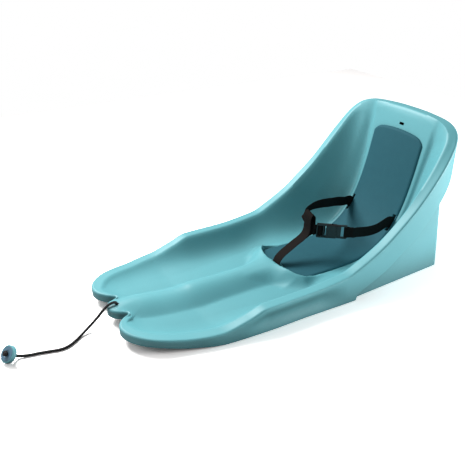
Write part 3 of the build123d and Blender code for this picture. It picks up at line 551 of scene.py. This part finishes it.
def block(name, place, x_way, z_way, size):
    """A plain cutter block in its own frame."""
    z = Vector(z_way).normalized()
    x = Vector(x_way).normalized()
    y = z.cross(x)
    turn = Matrix((x, y, z)).transposed()
    corners = []
    for k in range(8):
        local = Vector((size[0] * (k & 1) - size[0] / 2, size[1] * (k >> 1 & 1) - size[1] / 2, size[2] * (k >> 2) - size[2] / 2))
        corners.append(Vector(place) + turn @ local)
    faces = [(0, 2, 3, 1), (4, 5, 7, 6), (0, 1, 5, 4), (2, 6, 7, 3), (0, 4, 6, 2), (1, 3, 7, 5)]
    return corners, faces


def panel_forward():
    lean = math.radians(SLOT_LEAN)
    return Vector((0, -math.sin(lean), math.cos(lean)))


def slot_place(side):
    return Vector((side * SLOT_HALF_SPACING, BACK - SLOT_FROM_BACK, SLOT_HEIGHT))


def cut_openings(piece, grow):
    """Cut the strap slots, and in the shell also the cord's hole and the hanging slot."""
    blocks = [block("crotch", (0, CROTCH_PLACE, SEAT_FLOOR), (1, 0, 0), (0, 0, 1), (31 + grow, 7 + grow, 24))]
    for side in (-1, 1):
        blocks.append(block("lap", slot_place(side), (1, 0, 0), panel_forward(), (SLOT_WIDTH + grow, SLOT_LENGTH + grow, 24)))
    if not grow:
        blocks.append(block("hang", (0, BACK - 35.5, HEIGHT - 36), (1, 0, 0), (0, -0.92, 0.4), (14, 6, 16)))
        turns = 20
        ring = []
        for k in range(turns):
            angle = 2 * math.pi * k / turns
            ring.append((4 * math.cos(angle), FRONT + TOW_HOLE_INSIDE + 4 * math.sin(angle)))
        points = [Vector((x, y, z)) for z in (FRONT_RIM - 9, FRONT_RIM + 9) for x, y in ring]
        faces = [tuple(reversed(range(turns))), tuple(range(turns, 2 * turns))]
        faces += [(k, (k + 1) % turns, turns + (k + 1) % turns, turns + k) for k in range(turns)]
        blocks.append((points, faces))
    points, faces = [], []
    for corners, sides in blocks:
        faces += [tuple(len(points) + k for k in side) for side in sides]
        points += corners
    cutter = mesh_object(piece.name + "_cutter", points, faces)
    cut = piece.modifiers.new("openings", "BOOLEAN")
    cut.object = cutter
    cut.operation = "DIFFERENCE"
    cut.solver = "EXACT"
    applied(piece)
    bpy.data.objects.remove(cutter)
    return piece


def sled_shell():
    piece = shell_surface()
    wall = piece.modifiers.new("wall", "SOLIDIFY")
    wall.thickness = WALL * MM
    wall.offset = -1
    applied(piece)
    cut_openings(piece, 0)
    work = bmesh.new()
    work.from_mesh(piece.data)
    mark_sharp(work, 38.0)
    work.to_mesh(piece.data)
    work.free()
    return piece


# ---------------------------------------------------------------- pad


def pad_line():
    """Floor line under the pad, from its front end up the back panel, as place, height and lean."""
    line = []
    for y, z, lean, *_ in smooth_stations(8):
        if y < BACK - LIP_FROM_BACK - 10 or y > BACK - 28:
            continue
        if y < BACK - 310:
            z = SEAT_FLOOR
        line.append((y, z, lean))
    return line


def seat_pad():
    """Thin foam pad with a round front end, soft edges and an arched top."""
    line = pad_line()
    rows, columns = 130, 44
    points = []
    for i in range(rows + 1):
        for j in range(columns + 1):
            v = 2 * j / columns - 1
            start = pad_front(v * PAD_HALF)
            top = HEIGHT - 49 - 8 * v * v - 13 * abs(v) ** 9
            points.append((v, i / rows, start, top))
    ys = [p[0] for p in line]
    zs = [p[1] for p in line]
    leans = [p[2] for p in line]
    runs = np.concatenate([[0.0], np.cumsum(np.hypot(np.diff(ys), np.diff(zs)))])
    placed = []
    for v, u, start, top in points:
        first = np.interp(start, ys, runs)
        last = np.interp(top, zs, runs)
        at = first + (last - first) * u
        edge = min(at - first, last - at, PAD_HALF * (1 - abs(v)))
        soft = 3.0
        round_off = math.sqrt(max(1 - (1 - min(edge / soft, 1)) ** 2, 0.0))
        thick = (PAD_THICKNESS - PAD_CROWN + 2 * PAD_CROWN * (1 - v * v)) * round_off
        y, z, lean = (np.interp(at, runs, a) for a in (ys, zs, leans))
        normal = Vector((0, -math.sin(math.radians(lean)), math.cos(math.radians(lean))))
        base = Vector((PAD_HALF * v, y, z)) + normal * PAD_GAP
        placed.append((base + normal * (thick + 0.1), base))
    wide = columns + 1
    total = len(placed)
    tops = [p[0] for p in placed]
    lows = [p[1] for p in placed]
    faces = []
    for i in range(rows):
        for j in range(columns):
            a = i * wide + j
            faces.append((a, a + 1, a + wide + 1, a + wide))
            faces.append((total + a + wide, total + a + wide + 1, total + a + 1, total + a))
    border = [j for j in range(wide)] + [i * wide + columns for i in range(1, rows + 1)]
    border += [rows * wide + j for j in range(columns - 1, -1, -1)] + [i * wide for i in range(rows - 1, 0, -1)]
    for a, b in zip(border, border[1:] + border[:1]):
        faces.append((b, a, total + a, total + b))
    piece = mesh_object("seat_pad_foam", tops + lows, faces, 60)
    return cut_openings(piece, 1.0)


# ---------------------------------------------------------------- harness


def ribbon(name, route, edges, steps=6):
    """Webbing along a route, with rounded selvedges."""
    count = (len(route) - 1) * steps
    half_width, half_thick = STRAP_WIDTH / 2, STRAP_THICKNESS / 2
    profile = []
    for k in range(10):
        profile.append((-half_width + STRAP_WIDTH * k / 9, half_thick if 0 < k < 9 else half_thick * 0.55))
    for k in range(10):
        profile.append((half_width - STRAP_WIDTH * k / 9, -half_thick if 0 < k < 9 else -half_thick * 0.55))
    points = []
    for k in range(count + 1):
        at = k / steps
        place = between(route, at)
        ahead = (between(route, min(at + 0.05, len(route) - 1)) - between(route, max(at - 0.05, 0))).normalized()
        width_way = between(edges, at)
        width_way = (width_way - ahead * width_way.dot(ahead)).normalized()
        face_way = ahead.cross(width_way)
        for across, up in profile:
            points.append(place + width_way * across + face_way * up)
    deep = len(profile)
    faces = [tuple(range(deep)), tuple(reversed(range(count * deep, (count + 1) * deep)))]
    for i in range(count):
        for j in range(deep):
            a, b = i * deep + j, i * deep + (j + 1) % deep
            faces.append((a, b, b + deep, a + deep))
    return mesh_object(name, points, faces, 50)


def on_buckle(x, y, z=0.0):
    along = (BUCKLE_RIGHT - BUCKLE_LEFT).normalized()
    up = (Vector((0, 0, 1)) - along * along.z).normalized()
    return (BUCKLE_LEFT + BUCKLE_RIGHT) / 2 + along * x + up.cross(along) * y + up * z


def slot_route(side):
    return [slot_place(side) + panel_forward() * ahead for ahead in (14.0, 7.0, 0.0, -4.5, -8.4)]


def lap_strap_right():
    panel_edge = (0, 0.53, 0.85)
    route = list(reversed(slot_route(-1)))
    edges = [panel_edge] * len(route)
    reach = LADDER_THICKNESS / 2 + STRAP_GAP + STRAP_THICKNESS / 2 + 1.1
    pitch = LADDER_BAR + LADDER_GAP
    start = -BUCKLE_LENGTH / 2 + LADDER_BAR / 2
    route += [
        (-69, 262, 94), (-61, 233, 103), (-50, 205, 111), (-38, 172, 121), (-28, 138, 127),
        (-22.5, 113, 124), (-19.5, 103, 119), (-14, 101.8, 113), (-7, 102.8, 107.5), (2, 104.4, 100),
    ]
    edges += [
        (0.05, 0.4, 0.9), (0.1, 0.25, 0.95), (0.15, 0.15, 0.97), (0.2, 0.1, 0.96), (0.3, 0.08, 0.95),
        (0.35, 0.05, 0.93), (0.4, 0.05, 0.91), (0.42, 0.05, 0.9), (0.42, 0.05, 0.9), (0.3, 0.05, 0.95),
    ]
    weave = [
        (start - pitch, -0.8), (start - pitch / 2, reach * 0.6), (start, reach), (start + pitch / 2, 0.0),
        (start + pitch, -reach), (start + pitch * 1.5, 0.0), (start + pitch * 2, reach),
        (start + pitch * 2 + 4, reach + 0.2),
    ]
    route += [on_buckle(x, y) for x, y in weave]
    edges += [(0.15, 0, 0.98)] + [(0.0, 0.0, 1.0)] * (len(weave) - 1)
    return ribbon("lap_strap_right_webbing", route, edges)


def lap_strap_left():
    panel_edge = (0, 0.53, 0.85)
    bar = BUCKLE_LENGTH / 2 - 1.5
    turn = 2.0 + STRAP_GAP + STRAP_THICKNESS / 2 + 0.1
    layer = STRAP_THICKNESS / 2 + 0.1
    loop = [
        (bar + 16, layer), (bar + 10, layer + 0.2), (bar + 5.5, turn * 0.62), (bar + 2, turn), (bar - 1.5, turn),
        (bar - 4.2, turn * 0.7), (bar - 5.2, 0.0), (bar - 4.2, -turn * 0.7), (bar - 1.5, -turn),
        (bar + 2, -turn), (bar + 5.5, -turn * 0.62), (bar + 10, -layer - 0.2), (bar + 16, -layer),
    ]
    route = [on_buckle(x, y) for x, y in loop]
    edges = [(0.0, 0.0, 1.0)] * len(loop)
    route += [(66.5, 195, 83), (69, 222, 79.5), (71, 250, 81)]
    edges += [(0, 0, 1), (0, 0.1, 0.99), (0, 0.3, 0.95)]
    route += slot_route(1)
    edges += [panel_edge] * 5
    return ribbon("lap_strap_left_webbing", route, edges)


def crotch_strap():
    y = CROTCH_PLACE
    route = [
        (0, y, SEAT_FLOOR - 8), (0, y, SEAT_FLOOR - 3), (0, y, SEAT_FLOOR + 4), (0, y + 1.5, SEAT_FLOOR + 13),
        (0, y + 8, 34), (0, y + 20, 43), (0, y + 33, 50), (0, y + 52, 60), (0, y + 68, 67.5),
        (0, y + 79, 76), (0, y + 84, 88), (0, y + 84.5, 101), (0, y + 84.3, 114), (0, y + 85.8, 122.5),
        (0, y + 91, 128), (0, y + 96.5, 122.5), (0, y + 98, 112), (0, y + 98, 99), (0, y + 97.5, 89),
        (0, y + 95.5, 80.5), (0, y + 88.5, 76.3), (0, y + 80, 73.8), (0, y + 75, 70.4),
    ]
    level = (1, 0, 0)
    edges = [level] * 12 + [(1, 0, -0.25)] * 5 + [level] * 6
    return ribbon("crotch_strap_webbing", route, edges)


# ---------------------------------------------------------------- cord


def stop_knot_height():
    return FRONT_RIM + TONGUE_RISE - 1 - WALL - REST_GAP - KNOT_HALF


def knot_ahead():
    return KNOB_THICKNESS / 2 + REST_GAP + KNOT_HALF


def tow_cord():
    hole = FRONT + TOW_HOLE_INSIDE
    low = CORD_DIAMETER / 2 + 0.3
    route = [
        (0, hole, stop_knot_height() + KNOT_HALF + REST_GAP),
        (0, hole, FRONT_RIM + 7.5),
        (0, FRONT + 5, FRONT_RIM + 6.5),
        (2, FRONT - 24, 17),
        (14, FRONT - 56, low),
        (33, FRONT - 79, low),
        (42, FRONT - 100, low),
        (37, FRONT - 122, low),
        (31, FRONT - 143, low),
        (28, FRONT - 162, low),
        (23.5, FRONT - 175, low + 0.6),
        KNOB_MIDDLE - KNOB_FACING * 14,
        KNOB_MIDDLE + KNOB_FACING * (knot_ahead() - KNOT_HALF - REST_GAP),
    ]
    data = bpy.data.curves.new("tow_cord_rope", "CURVE")
    data.dimensions = "3D"
    spline = data.splines.new("NURBS")
    spline.points.add(len(route) - 1)
    for point, place in zip(spline.points, route):
        point.co = (*(Vector(place) * MM), 1.0)
    spline.order_u = 3
    spline.use_endpoint_u = True
    spline.resolution_u = 12
    data.bevel_depth = CORD_DIAMETER / 2 * MM
    data.bevel_resolution = 6
    data.use_fill_caps = True
    return new_object("tow_cord_rope", data), Vector(route[0]) * MM


def knot(name, middle, axis):
    """Overhand knot: a short run of cord wound through itself."""
    turns = 96
    tube = CORD_DIAMETER / 2 * 0.9
    z = Vector(axis).normalized()
    x = z.orthogonal().normalized()
    y = z.cross(x)
    line = []
    for k in range(turns):
        angle = 2 * math.pi * k / turns
        spread = (KNOT_RADIUS - tube) * (0.72 + 0.28 * math.cos(3 * angle))
        local = (spread * math.cos(2 * angle), spread * math.sin(2 * angle), 1.15 * math.sin(3 * angle))
        line.append(Vector(middle) + x * local[0] + y * local[1] + z * local[2])
    points, faces = [], []
    sides = 12
    for k in range(turns):
        ahead = (line[(k + 1) % turns] - line[k - 1]).normalized()
        across = ahead.cross(z).normalized()
        up = across.cross(ahead)
        for j in range(sides):
            angle = 2 * math.pi * j / sides
            points.append(line[k] + across * tube * math.cos(angle) + up * tube * math.sin(angle))
    for k in range(turns):
        for j in range(sides):
            a = k * sides + j
            b = k * sides + (j + 1) % sides
            c = (k + 1) % turns * sides
            faces.append((a, b, c + (j + 1) % sides, c + j))
    return mesh_object(name, points, faces, 80)


# ---------------------------------------------------------------- materials


def material(name, colour, roughness):
    mat = bpy.data.materials.new(name)
    mat.use_nodes = True
    shader = mat.node_tree.nodes["Principled BSDF"]
    shader.inputs["Base Color"].default_value = (*colour, 1)
    shader.inputs["Roughness"].default_value = roughness
    return mat, mat.node_tree, shader


def node(tree, kind, **values):
    made = tree.nodes.new(kind)
    for key, value in values.items():
        if key in made.inputs:
            made.inputs[key].default_value = value
        else:
            setattr(made, key, value)
    return made


def mottled(tree, shader, colour, darker, scale, share=0.5):
    """Gentle colour variation between two shades."""
    place = node(tree, "ShaderNodeTexCoord")
    noise = node(tree, "ShaderNodeTexNoise", Scale=scale, Detail=4.0, Roughness=0.6)
    mix = node(tree, "ShaderNodeMix", data_type="RGBA")
    mix.inputs[6].default_value = (*colour, 1)
    mix.inputs[7].default_value = (*darker, 1)
    tree.links.new(place.outputs["Object"], noise.inputs["Vector"])
    tree.links.new(noise.outputs["Fac"], mix.inputs[0])
    tree.links.new(mix.outputs[2], shader.inputs["Base Color"])
    return place, mix


def grain(tree, shader, place, scale, strength, distance):
    noise = node(tree, "ShaderNodeTexNoise", Scale=scale, Detail=3.0)
    bump = node(tree, "ShaderNodeBump", Strength=strength, Distance=distance)
    tree.links.new(place.outputs["Object"], noise.inputs["Vector"])
    tree.links.new(noise.outputs["Fac"], bump.inputs["Height"])
    tree.links.new(bump.outputs["Normal"], shader.inputs["Normal"])


def painted_crease_shade(tree, shader, mix, reach, darkest):
    """Painted shade: the base colour is darkened in narrow hollows and creases by an ambient occlusion mask, where
    less light reaches.
    """
    crease_shade_mask = node(tree, "ShaderNodeAmbientOcclusion", Distance=reach, samples=8)
    ramp = node(tree, "ShaderNodeMapRange")
    ramp.inputs["From Min"].default_value = 0.35
    ramp.inputs["From Max"].default_value = 0.95
    ramp.inputs["To Min"].default_value = darkest
    ramp.inputs["To Max"].default_value = 1.0
    deep = node(tree, "ShaderNodeMix", data_type="RGBA", blend_type="MULTIPLY")
    deep.inputs[0].default_value = 1.0
    tree.links.new(crease_shade_mask.outputs["AO"], ramp.inputs["Value"])
    tree.links.new(mix.outputs[2], deep.inputs[6])
    tree.links.new(ramp.outputs["Result"], deep.inputs[7])
    tree.links.new(deep.outputs[2], shader.inputs["Base Color"])


def shell_plastic():
    mat, tree, shader = material("turquoise_plastic", (0.13, 0.43, 0.475), 0.48)
    place, mix = mottled(tree, shader, (0.158, 0.47, 0.52), (0.138, 0.445, 0.495), 9.0)
    # painted shade: the plastic's colour is darkened in the shell's creases and hollows
    painted_crease_shade(tree, shader, mix, 0.08, 0.3)
    grain(tree, shader, place, 900.0, 0.08, 0.0003)
    shader.inputs["Specular IOR Level"].default_value = 0.5
    return mat


def pad_foam():
    mat, tree, shader = material("pad_foam_skin", (0.024, 0.115, 0.15), 0.75)
    place, _ = mottled(tree, shader, (0.027, 0.125, 0.158), (0.022, 0.107, 0.14), 60.0)
    shader.inputs["Specular IOR Level"].default_value = 0.2
    grain(tree, shader, place, 1500.0, 0.25, 0.0004)
    return mat


def webbing():
    mat, tree, shader = material("black_webbing", (0.012, 0.009, 0.008), 0.9)
    place, _ = mottled(tree, shader, (0.014, 0.01, 0.009), (0.007, 0.006, 0.006), 700.0)
    shader.inputs["Specular IOR Level"].default_value = 0.15
    grain(tree, shader, place, 1600.0, 0.5, 0.0005)
    return mat


def black_plastic():
    mat, tree, shader = material("black_plastic", (0.012, 0.012, 0.013), 0.38)
    place, _ = mottled(tree, shader, (0.013, 0.013, 0.014), (0.009, 0.009, 0.01), 120.0)
    grain(tree, shader, place, 1200.0, 0.1, 0.0003)
    return mat


def cord_fibre():
    mat, tree, shader = material("black_cord", (0.008, 0.008, 0.009), 0.75)
    place, _ = mottled(tree, shader, (0.012, 0.012, 0.013), (0.005, 0.005, 0.006), 900.0)
    grain(tree, shader, place, 1300.0, 0.6, 0.0006)
    return mat


def knob_plastic():
    mat, tree, shader = material("blue_knob_plastic", (0.1, 0.22, 0.32), 0.4)
    place, _ = mottled(tree, shader, (0.105, 0.23, 0.33), (0.09, 0.2, 0.29), 90.0)
    grain(tree, shader, place, 1200.0, 0.1, 0.0003)
    return mat


def wear(piece, mat):
    """Give a piece one material."""
    piece.data.materials.clear()
    piece.data.materials.append(mat)
    for slot in piece.material_slots:
        slot.material = mat


# ---------------------------------------------------------------- the object

PLASTIC = shell_plastic()
FOAM = pad_foam()
WEBBING = webbing()
BLACK = black_plastic()
CORD = cord_fibre()
KNOB_BLUE = knob_plastic()


def dress(piece, mat, slot, *nodes):
    wear(piece, mat)
    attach(piece, "sled")
    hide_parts(*nodes)
    return piece


shell = dress(sled_shell(), PLASTIC, "shell_plastic", "sled_shell")
pad = dress(seat_pad(), FOAM, "pad_foam", "seat_pad")
dress(lap_strap_right(), WEBBING, "webbing", "lap_strap_right")
dress(lap_strap_left(), WEBBING, "webbing", "lap_strap_left")
dress(crotch_strap(), WEBBING, "webbing", "crotch_strap")
rope, rope_exit = tow_cord()
dress(rope, CORD, "cord", "tow_cord")
end_knot = dress(knot("knob_knot_rope", KNOB_MIDDLE + KNOB_FACING * knot_ahead(), KNOB_FACING), CORD, "cord", "knob_knot")
dress(knot("stop_knot_rope", (0, FRONT + TOW_HOLE_INSIDE, stop_knot_height()), (0, 0, 1)), CORD, "cord", "cord_stop_knot")

for name, mat in (
    ("buckle_socket", BLACK), ("buckle_plug", BLACK), ("buckle_prong_upper", BLACK), ("buckle_prong_lower", BLACK),
    ("strap_stop_left", BLACK), ("strap_stop_right", BLACK), ("strap_stop_crotch", BLACK),
    ("knob_body", PLASTIC), ("knob_face", KNOB_BLUE),
):
    for slot in frame["nodes"][name].material_slots:
        slot.material = mat


# ---------------------------------------------------------------- room, light and camera


def floor():
    bpy.ops.mesh.primitive_plane_add(size=3.2, location=(0, 0, 0))
    plane = bpy.context.object
    plane.name = "studio_floor"
    mat, tree, shader = material("white_floor", (0.8, 0.8, 0.79), 0.16)
    shader.inputs["Specular IOR Level"].default_value = 0.3
    path = node(tree, "ShaderNodeLightPath")
    mix = node(tree, "ShaderNodeMix", data_type="RGBA")
    mix.inputs[6].default_value = (0.5, 0.5, 0.5, 1)
    mix.inputs[7].default_value = (2.1, 2.05, 2.03, 1)
    tree.links.new(path.outputs["Is Camera Ray"], mix.inputs[0])
    tree.links.new(mix.outputs[2], shader.inputs["Base Color"])
    plane.data.materials.append(mat)


def world():
    sky = bpy.data.worlds.new("studio")
    bpy.context.scene.world = sky
    sky.use_nodes = True
    background = sky.node_tree.nodes["Background"]
    background.inputs["Color"].default_value = (1, 1, 1, 1)
    background.inputs["Strength"].default_value = 0.25
    bright = node(sky.node_tree, "ShaderNodeBackground", Strength=1.0, Color=(1, 1, 1, 1))
    path = node(sky.node_tree, "ShaderNodeLightPath")
    mix = node(sky.node_tree, "ShaderNodeMixShader")
    tree = sky.node_tree
    tree.links.new(path.outputs["Is Camera Ray"], mix.inputs["Fac"])
    tree.links.new(background.outputs["Background"], mix.inputs[1])
    tree.links.new(bright.outputs["Background"], mix.inputs[2])
    tree.links.new(mix.outputs["Shader"], tree.nodes["World Output"].inputs["Surface"])


def softbox(name, place, target, size, watts):
    lamp = bpy.data.lights.new(name, "AREA")
    lamp.energy = watts
    lamp.shape = "RECTANGLE"
    lamp.size, lamp.size_y = size
    lit = bpy.data.objects.new(name, lamp)
    bpy.context.scene.collection.objects.link(lit)
    lit.location = place
    lit.rotation_euler = (Vector(target) - Vector(place)).to_track_quat("-Z", "Y").to_euler()


def camera():
    """The photograph's view: place, direction and focal length, for a square picture."""
    turn, down = math.radians(59.6), math.radians(27.1)
    ahead = Vector((-math.sin(turn) * math.cos(down), math.cos(turn) * math.cos(down), -math.sin(down)))
    right = Vector((math.cos(turn), math.sin(turn), 0))
    up = right.cross(ahead)
    data = bpy.data.cameras.new("photo_view")
    data.sensor_width = 36.0
    data.lens = 605.4 / 465 * 36.0
    data.clip_start = 0.05
    data.clip_end = 60.0
    view = bpy.data.objects.new("photo_view", data)
    bpy.context.scene.collection.objects.link(view)
    turn = Matrix((right, up, -ahead)).transposed().to_4x4()
    view.matrix_world = Matrix.Translation((0.995, -0.6859, 0.720)) @ turn
    bpy.context.scene.camera = view


floor()
world()
softbox("key_softbox", (-1.3, -0.6, 1.6), (0, 0, 0), (1.0, 1.0), 58)
softbox("front_softbox", (-0.6, -2.0, 1.2), (0, 0, 0.1), (1.0, 1.0), 8)
softbox("side_softbox", (1.1, 1.5, 0.3), (0.17, 0.25, 0.08), (0.5, 0.5), 34)
camera()
bpy.context.scene.view_settings.view_transform = "Standard"
